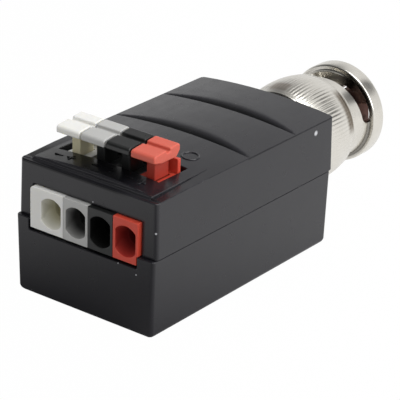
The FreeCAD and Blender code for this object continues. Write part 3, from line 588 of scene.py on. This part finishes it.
# for each colour: the terminal, the key's head, and the key below its head
nylons = {"white": (whiteNylon, whiteNylon, litStemWhiteNylon), "grey": (greyNylon, greyNylon, blackNylon),
          "black": (blackNylon, blackNylon, blackNylon), "red": (redNylon, redKeySheenNylon, shadedStemRedNylon)}
shadeHeights = {"headBottom": 20.7, "noseTop": 15.0}  # the grey terminal's guide is black above its nose
portSizes = {
    "firstX": -5.24, "pitch": 3.96, "z": 12.06, "halfWidth": 1.6, "halfHeight": 2.08, "end": -23.8}


def inPort(place, index):
    s = portSizes
    x = s["firstX"] + s["pitch"] * index
    return (funnelMouth < place.y / mm < s["end"] and abs(place.x / mm - x) < s["halfWidth"]
            and abs(place.z / mm - s["z"]) < s["halfHeight"])


for index, (colourName, (nylon, head, stem)) in enumerate(nylons.items()):
    terminal = softCopy("terminal_" + colourName, "terminal" + colourName.title(), terminalEdges,
                        [nylon, blackNylon, portShades[colourName]], "housing")
    for face in terminal.data.polygons:
        if inPort(face.center, index):
            face.material_index = 2
        elif colourName == "grey" and face.center.z > shadeHeights["noseTop"] * mm:
            face.material_index = 1
    keyName = "key_" + colourName
    key = softCopy(keyName, "key" + colourName.title(), keyEdges, [head, stem], keyName)
    # below the head each key takes its stem finish: painted light on the white, painted shade on the red
    for face in key.data.polygons:
        face.material_index = 1 if face.center.z < shadeHeights["headBottom"] * mm else 0
print("terminals and keys softened")

# coupling nut: turned body with its bayonet tracks, and the knurl
nutSizes = {
    "back": 12.45, "knurlEnd": 20.2, "crest": 16.9, "shoulder": 20.9, "neckStart": 21.85, "rimBack": 25.55,
    "front": 27.95, "backRadius": 6.8, "middleRadius": 7.46, "frontRadius": 7.1, "shoulderRadius": 6.85,
    "neckRadius": 6.1, "rimRadius": 7.0, "boreRadius": 4.95, "chamberRadius": 5.95, "chamberFront": 18.15,
    "segments": 256, "teeth": 88, "toothDepth": 0.045, "knurlBack": 13.2, "sharpFrom": 32,
    "knurlSharpFrom": 50}
trackSizes = {
    "entryAngle": 14.0, "lockAngle": 108.0, "entryY": 25.25, "lead": 1.6, "width": 2.4,
    "entryRadius": 5.65, "outerRadius": 6.35, "innerRadius": 4.35, "holeRadius": 1.35,
    "rampSteps": 40, "discSides": 48}


def polar(y, radius, degrees):
    turn = math.radians(degrees)
    return Vector((radius * math.cos(turn) * mm, y * mm, radius * math.sin(turn) * mm + plugAxisZ))


def trackCutters(startTurn):
    s = trackSizes
    half = s["width"] / 2
    inner, outer = s["innerRadius"], s["outerRadius"]
    entry, lock = s["entryAngle"] + startTurn, s["lockAngle"] + startTurn

    def ramp():
        steps = s["rampSteps"]
        for step in range(steps + 1):
            angle = entry + (lock - entry) * step / steps
            y = s["entryY"] - s["lead"] * step / steps
            yield [polar(y - half, inner, angle), polar(y + half, inner, angle),
                   polar(y + half, outer, angle), polar(y - half, outer, angle)]

    def directions(angle):
        along = (polar(0, 1, angle) - polar(0, 0, angle)) / mm
        return along, Vector((-along.z, 0, along.x))

    def disc(y, radius, angle, low, high):
        across = directions(angle)[1]
        for reach in (low, high):
            middle = polar(y, reach, angle)
            yield [middle + across * math.cos(turn) * radius * mm
                   + Vector((0, 1, 0)) * math.sin(turn) * radius * mm for turn in roundTurns(s["discSides"])]

    def channel():
        along, across = directions(entry)
        low, high = inner - 0.02, s["entryRadius"]
        corners = ((low, -half), (high, -half), (high, half), (low, half))
        for y in (s["entryY"], nutSizes["front"] + 1):
            middle = polar(y, 0, entry)
            yield [middle + along * reach * mm + across * side * mm for reach, side in corners]

    # each reaches to slightly other radii, so no two cutters share a surface
    for rings in (ramp(), channel(), disc(s["entryY"], half - 0.006, entry, inner - 0.05, outer - 0.02),
                  disc(s["entryY"] - s["lead"], s["holeRadius"], lock, inner - 0.1, outer + 0.02)):
        yield ringPiece("trackCutter", rings, [], around=False)


def barrelRadius(y):
    s = nutSizes
    behind = y < s["crest"]
    reach = s["crest"] - s["back"] if behind else s["knurlEnd"] - s["crest"]
    drop = s["middleRadius"] - (s["backRadius"] if behind else s["frontRadius"])
    return s["middleRadius"] - drop * ((y - s["crest"]) / reach) ** 2


def nutOutline():
    # a closed outline of (y, radius) points in mm; under the knurl it lies below the teeth
    s = nutSizes
    sunk = s["toothDepth"] + 0.02
    lead, fillet, rimEdge, chamfer, lip = 0.25, 0.35, 0.3, 0.22, 0.2

    def quarter(steps):
        turns = [math.radians(90 * step / steps) for step in range(steps + 1)]
        return [(math.cos(turn), math.sin(turn)) for turn in turns]

    points = [(s["back"], s["chamberRadius"])]
    points += [(s["back"] + lead - lead * c, barrelRadius(s["back"] + lead) - lead + lead * d)
               for c, d in quarter(4)]
    points.append((s["knurlBack"] - 0.1, barrelRadius(s["knurlBack"]) - 0.01))
    for step in range(21):
        y = s["knurlBack"] + 0.05 + (s["knurlEnd"] - s["knurlBack"] - 0.1) * step / 20
        points.append((y, barrelRadius(y) - sunk))
    # rounded shoulder, then a hollow sweep down to the neck
    points += [(s["knurlEnd"] + 0.08, s["frontRadius"] - 0.03),
               (s["knurlEnd"] + 0.3, s["frontRadius"] - 0.06)]
    points += [(s["shoulder"] - 0.2 + (s["neckStart"] - s["shoulder"] + 0.5) * (1 - c),
                s["neckRadius"] + (s["shoulderRadius"] + 0.1 - s["neckRadius"]) * (1 - d))
               for c, d in quarter(8)]
    points += [(s["rimBack"] - fillet + fillet * d, s["neckRadius"] + fillet - fillet * c)
               for c, d in quarter(4)]
    points += [(s["rimBack"] + rimEdge - rimEdge * c, s["rimRadius"] - rimEdge + rimEdge * d)
               for c, d in quarter(5)]
    points += [(s["front"] - chamfer + chamfer * d, s["rimRadius"] - chamfer + chamfer * c)
               for c, d in quarter(5)]
    points += [(s["front"] - lip + lip * c, s["boreRadius"] + lip - lip * d) for c, d in quarter(4)]
    return points + [(s["chamberFront"], s["boreRadius"]), (s["chamberFront"], s["chamberRadius"])]


def makeNut():
    count = nutSizes["segments"]
    rings = [[polar(y, radius, 360 * step / count) for y, radius in nutOutline()] for step in range(count)]
    nut = ringPiece("couplingNutTurned", rings, [nickelPlate])
    for startTurn in (0.0, 180.0):
        for cutter in trackCutters(startTurn):
            addModifier(nut, "BOOLEAN", {"operation": "DIFFERENCE", "solver": "EXACT", "object": cutter})
            bakeModifiers(nut)
            bpy.data.objects.remove(cutter)
    nut.data.set_sharp_from_angle(angle=math.radians(nutSizes["sharpFrom"]))
    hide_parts("coupling_nut")
    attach(nut, "nut")
    print("nut turned, faces:", len(nut.data.polygons))


def knurlTree():
    # a band of straight teeth on a barrel: a grid is rolled round the axis, with two extra rows that close it
    tree = bpy.data.node_groups.new("straightKnurl", "GeometryNodeTree")
    add = partial(addNode, tree)
    tree.interface.new_socket("Geometry", in_out="OUTPUT", socket_type="NodeSocketGeometry")
    inputs = {"Int": ["Teeth"], "Float": ["Start", "Length", "Crest share", "Back radius", "Middle radius",
                                          "Front radius", "Tooth depth", "Axis height"],
              "Material": ["Material"]}
    for kind, socketNames in inputs.items():
        for socketName in socketNames:
            tree.interface.new_socket(socketName, in_out="INPUT", socket_type="NodeSocket" + kind)
    given = add("NodeGroupInput")
    rows, perTooth = 29, 8
    # shares: of half a tooth's width, of the band's length, and of a tooth's depth
    flank, runOut, sunkTeeth = (0.06, 0.36), 0.07, 2.5
    columns = add("Math", "MULTIPLY_ADD", [(given, "Teeth"), perTooth, 1.0])
    grid = add("GeometryNodeMeshGrid", {}, {"Vertices X": columns, "Vertices Y": rows + 1})
    parts = add("SeparateXYZ", {}, [add("GeometryNodeInputPosition")])
    around = add("Math", "ADD", [(parts, "X"), 0.5])
    angle = add("Math", "MULTIPLY", [around, math.tau])
    lift = add("Math", "ADD", [(parts, "Y"), 0.5])
    row = add("Math", "ROUND", [add("Math", "MULTIPLY", [lift, rows])])
    # rows 1 to rows-2 are the toothed skin; row 0, rows-1 and rows lie on the inside
    across = add("MapRange", {}, [row, 1.0, rows - 2])
    isBack = add("Math", "COMPARE", [row, rows, 0.5])
    forward = add("Math", "SUBTRACT", [1.0, isBack])
    acrossBack = add("Math", "MULTIPLY", [across, forward])
    rest = add("Math", "SUBTRACT", [1.0, acrossBack])
    # a separate parabola falls to each end from the crest
    fromCrest = add("Math", "SUBTRACT", [acrossBack, (given, "Crest share")])
    backShare = add("Math", "DIVIDE", [fromCrest, (given, "Crest share")])
    frontShare = add("Math", "DIVIDE", [fromCrest, add("Math", "SUBTRACT", [1.0, (given, "Crest share")])])
    isFront = add("Math", "GREATER_THAN", [fromCrest, 0.0])
    share = add("Mix", {}, {"Factor": isFront, "A": backShare, "B": frontShare})
    endRadius = add("Mix", {}, {"Factor": isFront, "A": (given, "Back radius"), "B": (given, "Front radius")})
    squared = add("Math", "MULTIPLY", [share, share])
    swell = add("Math", "SUBTRACT", [endRadius, (given, "Middle radius")])
    envelope = add("Math", "MULTIPLY_ADD", [squared, swell, (given, "Middle radius")])
    count = add("Math", "MULTIPLY", [around, (given, "Teeth")])
    tooth = add("MapRange", {}, [add("Math", "PINGPONG", [count, 0.5]), *flank])
    # teeth run out into the band's two ends
    fade = add("MapRange", {}, [add("Math", "MINIMUM", [acrossBack, rest]), 0.0, runOut])
    depth = add("Math", "SUBTRACT", [1.0, overlap(add, tooth, fade)])
    cut = add("Math", "MULTIPLY", [depth, (given, "Tooth depth")])
    skin = add("Math", "SUBTRACT", [envelope, cut])
    atStart = add("Math", "LESS_THAN", [row, 0.5])
    atEnd = add("Math", "GREATER_THAN", [row, rows - 1.5])
    inside = add("Math", "ADD", [atStart, atEnd])
    sunk = add("Math", "MULTIPLY", [(given, "Tooth depth"), sunkTeeth])
    inner = add("Math", "SUBTRACT", [(given, "Back radius"), sunk])
    radius = add("Mix", {}, {"Factor": inside, "A": skin, "B": inner})
    rolled = add("CombineXYZ", {}, {
        "X": add("Math", "MULTIPLY", [radius, add("Math", "COSINE", [angle])]),
        "Y": add("Math", "MULTIPLY_ADD", [acrossBack, (given, "Length"), (given, "Start")]),
        "Z": add("Math", "MULTIPLY_ADD", [radius, add("Math", "SINE", [angle]), (given, "Axis height")])})
    placed = add("GeometryNodeSetPosition", {}, {"Geometry": grid, "Position": rolled})
    joined = add("GeometryNodeMergeByDistance", {}, {"Geometry": placed, "Distance": 0.0005 * mm})
    real = add("GeometryNodeRealizeInstances", {}, {"Geometry": joined})
    painted = add("GeometryNodeSetMaterial", {}, {"Geometry": real, "Material": (given, "Material")})
    add("NodeGroupOutput", {}, {"Geometry": painted})
    return tree


def makeKnurl():
    s = nutSizes
    start, length = s["knurlBack"], s["knurlEnd"] - s["knurlBack"]
    tree = knurlTree()
    band = linkPiece("nutKnurlBand", bpy.data.meshes.new("nutKnurlBand"), [])
    modifier = addModifier(band, "NODES", {"node_group": tree})
    values = {"Teeth": s["teeth"], "Start": start * mm, "Length": length * mm,
              "Crest share": (s["crest"] - start) / length, "Back radius": barrelRadius(start) * mm,
              "Middle radius": s["middleRadius"] * mm, "Front radius": s["frontRadius"] * mm,
              "Tooth depth": s["toothDepth"] * mm, "Axis height": plugAxisZ, "Material": nickelPlate}
    for item in tree.interface.items_tree:
        if item.in_out == "INPUT":
            modifier[item.identifier] = values[item.name]
    bakeModifiers(band)
    work = bmesh.new()
    work.from_mesh(band.data)
    turnOutward(work, True)
    work.to_mesh(band.data)
    work.free()
    band.data.set_sharp_from_angle(angle=math.radians(s["knurlSharpFrom"]))
    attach(band, "nut")
    print("knurl made, faces:", len(band.data.polygons))


makeNut()
makeKnurl()

# the ground sleeve's fingers are drawn longer, flared and turned, so the nut's slots show no daylight
sleeveFingers = {"from": 26.0, "longer": 1.5, "flare": 0.6, "turn": -26}


def bendFingers(mesh):
    s = sleeveFingers
    axis = Vector((0, 0, plugAxisZ))
    mesh.transform(Matrix.Translation(axis) @ Matrix.Rotation(math.radians(s["turn"]), 4, "Y")
                   @ Matrix.Translation(-axis))
    for vert in mesh.vertices:
        if vert.co.y > s["from"] * mm:
            radial = Vector((vert.co.x, 0, vert.co.z - plugAxisZ))
            vert.co += radial.normalized() * s["flare"] * mm
            vert.co.y += s["longer"] * mm


for nodeName, pieceName, material, slotName in (
        ("plug_body", "plugBodyTurned", nickelPlate, "nickel_plated_brass"),
        ("ground_sleeve", "groundSleeveSlotted", sleevePlate, "nickel_plated_brass"),
        ("plug_insulator", "plugInsulatorTurned", whiteAcetal, "white_acetal"),
        ("centre_pin", "centrePinTurned", goldPlate, "gold_plated_brass"),
        ("gasket", "gasketMoulded", redSilicone, "red_silicone")):
    piece = softCopy(nodeName, pieceName, plugEdges, [material], "housing")
    if nodeName == "ground_sleeve":
        bendFingers(piece.data)

# the springs get meshes of their own, and the washer stays clear of the ring it turns on
springSizes = {
    "waveFront": 17.05, "waveKeep": 0.46, "clampFoot": 9.37, "clampKeep": 0.5,
    "washerMiddle": 15.35, "washerGap": 0.01}
waveSpring = softCopy("wave_spring", "waveSpringPressed", stripEdges, [springSteel], "housing")
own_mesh(waveSpring)
for colourName in nylons:
    clampSpring = softCopy("clamp_spring_" + colourName, "clampSpring" + colourName.title(), stripEdges,
                           [springSteel], "housing")
    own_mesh(clampSpring)
washer = softCopy("thrust_washer", "thrustWasherStamped", stripEdges, [springSteel], "washer")
for vert in washer.data.vertices:
    side = 1 if vert.co.y < springSizes["washerMiddle"] * mm else -1
    vert.co.y += side * springSizes["washerGap"] * mm

innerFinish = {
    "circuit_board": boardGreen, "transformer_core": ferriteDark, "transformer_winding": copperTurns,
    "surge_diode": epoxyBlack, "resistor": epoxyBlack, "contact": tinPlate, "signal_lead": tinPlate,
    "ground_lead": tinPlate, "retaining_ring": springSteel}
for nodeName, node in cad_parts.items():
    for start, material in innerFinish.items():
        if nodeName.startswith(start):
            node.data.materials.clear()
            node.data.materials.append(material)
print("plug and inner parts finished")

# generic plus and minus strokes, raised on the panel in front of the keys
signSizes = {
    "length": 1.25, "width": 0.26, "height": 0.1, "sink": 0.06, "edge": 0.05, "y": -24.45,
    "places": ((-6.9, "minus"), (-4.9, "plus"), (-0.9, "minus"), (1.1, "plus"), (4.2, "minus"),
               (6.2, "plus"))}
ringMark = {
    "x": 5.65, "y": -14.2, "radius": 1.08, "halfWidth": 0.16, "height": 0.12, "sink": 0.05,
    "steps": 72, "sides": 8}


def panelHeight(x, y):
    above = Vector((x * mm, y * mm, 50 * mm))
    return upperShell.ray_cast(above, Vector((0, 0, -1)))[1].z / mm


def makeSigns():
    s = signSizes
    work = bmesh.new()
    for x, sign in s["places"]:
        z = panelHeight(x, s["y"])
        strokes = [(s["length"], s["width"])]
        if sign == "plus":
            strokes.append((s["width"], s["length"]))
        for sizeX, sizeY in strokes:
            size = Vector((sizeX, sizeY, s["height"] + s["sink"])) * mm
            middle = Vector((x, s["y"], z + (s["height"] - s["sink"]) / 2)) * mm
            shape = Matrix.Translation(middle) @ Matrix.Diagonal((*size, 1.0))
            made = bmesh.ops.create_cube(work, size=1.0, matrix=shape)
            top = [edge for edge in work.edges if set(edge.verts) <= set(made["verts"])
                   and all(vert.co.z > middle.z for vert in edge.verts)]
            bmesh.ops.bevel(work, geom=top, offset=s["edge"] * mm, segments=2, profile=0.5, affect="EDGES")
    signs = pieceFrom(work, "terminalSigns", [blackAbs])
    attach(signs, "housing")


def makeRingMark():
    s = ringMark
    rings = []
    for turn in roundTurns(s["steps"]):
        ring = []
        for around in roundTurns(s["sides"]):
            radius = s["radius"] + s["halfWidth"] * math.cos(around)
            x, y = s["x"] + radius * math.cos(turn), s["y"] + radius * math.sin(turn)
            rise = math.sin(around) * (s["height"] if math.sin(around) > 0 else s["sink"])
            ring.append(Vector((x, y, panelHeight(x, y) + rise)) * mm)
        rings.append(ring)
    piece = ringPiece("panelRing", rings, [blackAbs])
    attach(piece, "housing")


makeSigns()
makeRingMark()
print("signs and ring raised")

# stage: pale floor, soft studio light, camera; its places and lengths are in metres, the lens in mm
# a card darkens what shiny surfaces mirror: direction, where it starts and is full (cosines), what it leaves
# a lamp: place, where it aims, size, watts; the floor's band of painted shadow lies just in front of the part
stageSizes = {
    "floor": 1.6, "cameraPlace": (0.15835, -0.21378, 0.12638), "azimuth": 37.111,
    "elevation": 24.355, "roll": 1.674, "lens": 198.74,
    "bandAim": (0.72, 0.69, 0.0), "bandShift": 0.022, "bandReach": 0.045,
    "paper": "#D8D8D8", "paperShade": "#888888", "paperSeen": 0.993, "paperMirrored": 0.5,
    "skyMirrored": 0.85, "skyDiffuse": 0.66,
    "cards": (((-0.60, 0.15, 0.78), 0.66, 0.90, 0.42), ((0.55, -0.73, 0.41), 0.80, 0.97, 0.12),
              ((-0.45, -0.75, 0.48), 0.72, 0.92, 0.04), ((0.42, 0.72, 0.55), 0.955, 0.985, 0.1),
              ((-0.549, 0.565, 0.615), 0.955, 0.99, 0.55)),
    "lamps": {"topSoftbox": ((0.13, 0.06, 0.48), (0, 0, 0), 0.3, 1.2),
              "rightSoftbox": ((0.5, 0.05, 0.28), (0, 0, 0.01), 0.35, 1.7)}}


def makeFloor():
    s = stageSizes
    work = bmesh.new()
    bmesh.ops.create_grid(work, x_segments=8, y_segments=8, size=s["floor"] / 2)
    material = bpy.data.materials.new("whitePaperSweep")
    add = partial(addNode, emptyTree(material))
    # the camera sees it nearly white, and shiny surfaces see it dimmer, with a band of painted shadow just in
    # front of the part
    path = add("LightPath")
    ahead = add("VectorMath", "DOT_PRODUCT", [(add("TexCoord"), "Object"), s["bandAim"]])
    gap = add("Math", "ABSOLUTE", [add("Math", "ADD", [ahead, s["bandShift"]])])
    lit = add("MapRange", smooth, [gap, 0.0, s["bandReach"]])
    shade = add("Mix", inColour, {"Factor": lit, "A": s["paperShade"], "B": s["paper"]})
    paper = add("BsdfDiffuse", {}, {"Color": shade})
    glow = add("Emission")
    seen = add("Math", "MULTIPLY", [(path, "Is Camera Ray"), s["paperSeen"]])
    shine = add("Math", "MULTIPLY", [lit, s["paperMirrored"]])
    mirrored = add("Math", "MULTIPLY_ADD", [(path, "Is Glossy Ray"), shine, seen])
    through = add("Math", {"operation": "MULTIPLY_ADD", "use_clamp": True}, [
        (path, "Is Transmission Ray"), s["paperMirrored"], mirrored])
    add("OutputMaterial", {}, {"Surface": add("MixShader", {}, [through, paper, glow])})
    floor = pieceFrom(work, "studioFloor", [material])


def makeWorld():
    # shiny surfaces mirror a bright tent, with dark cards high on the left, behind the camera and
    # where the nut's shoulder looks
    world = bpy.data.worlds.new("softStudio")
    scene.world = world
    add = partial(addNode, emptyTree(world))
    path, direction = add("LightPath"), add("TexCoord")
    tent = stageSizes["skyMirrored"]
    for aim, rim, core, depth in stageSizes["cards"]:
        toCard = add("VectorMath", "DOT_PRODUCT", [(direction, "Generated"), aim])
        tent = overlap(add, tent, add("MapRange", smooth, [toCard, rim, core, 1.0, depth]))
    clear = add("Math", {"operation": "ADD", "use_clamp": True}, [
        (path, "Is Camera Ray"), (path, "Is Transmission Ray")])
    ambient = add("Mix", {}, {"Factor": (path, "Is Glossy Ray"), "A": stageSizes["skyDiffuse"], "B": tent})
    level = add("Mix", {}, {"Factor": clear, "A": ambient, "B": 1.0})
    sky = add("Background", {}, {"Color": "#FFFFFF", "Strength": level})
    add("OutputWorld", {}, {"Surface": sky})


def makeLamp(name, place, aim, size, power):
    lamp = bpy.data.lights.new(name, "AREA")
    lamp.size = size
    lamp.energy = power
    holder = linkObject(name, lamp)
    holder.location = place
    holder.rotation_mode = "QUATERNION"
    holder.rotation_quaternion = (Vector(aim) - Vector(place)).to_track_quat("-Z", "Y")


def makeCamera():
    s = stageSizes
    azimuth, elevation, roll = (math.radians(s[key]) for key in ("azimuth", "elevation", "roll"))
    back = Vector((math.sin(azimuth) * math.cos(elevation), -math.cos(azimuth) * math.cos(elevation),
                   math.sin(elevation)))
    level = Vector((math.cos(azimuth), math.sin(azimuth), 0))
    upright = back.cross(level)
    right = level * math.cos(roll) + upright * math.sin(roll)
    up = upright * math.cos(roll) - level * math.sin(roll)
    camera = bpy.data.cameras.new("photoCamera")
    camera.lens = s["lens"]
    camera.clip_start = 0.01
    camera.clip_end = 10
    holder = linkObject("photoCamera", camera)
    turned = Matrix((right, up, back)).transposed().to_4x4()
    holder.matrix_world = Matrix.Translation(s["cameraPlace"]) @ turned
    scene.camera = holder


makeFloor()
makeWorld()
for lampName, lampSizes in stageSizes["lamps"].items():
    makeLamp(lampName, *lampSizes)
makeCamera()
print("stage set")
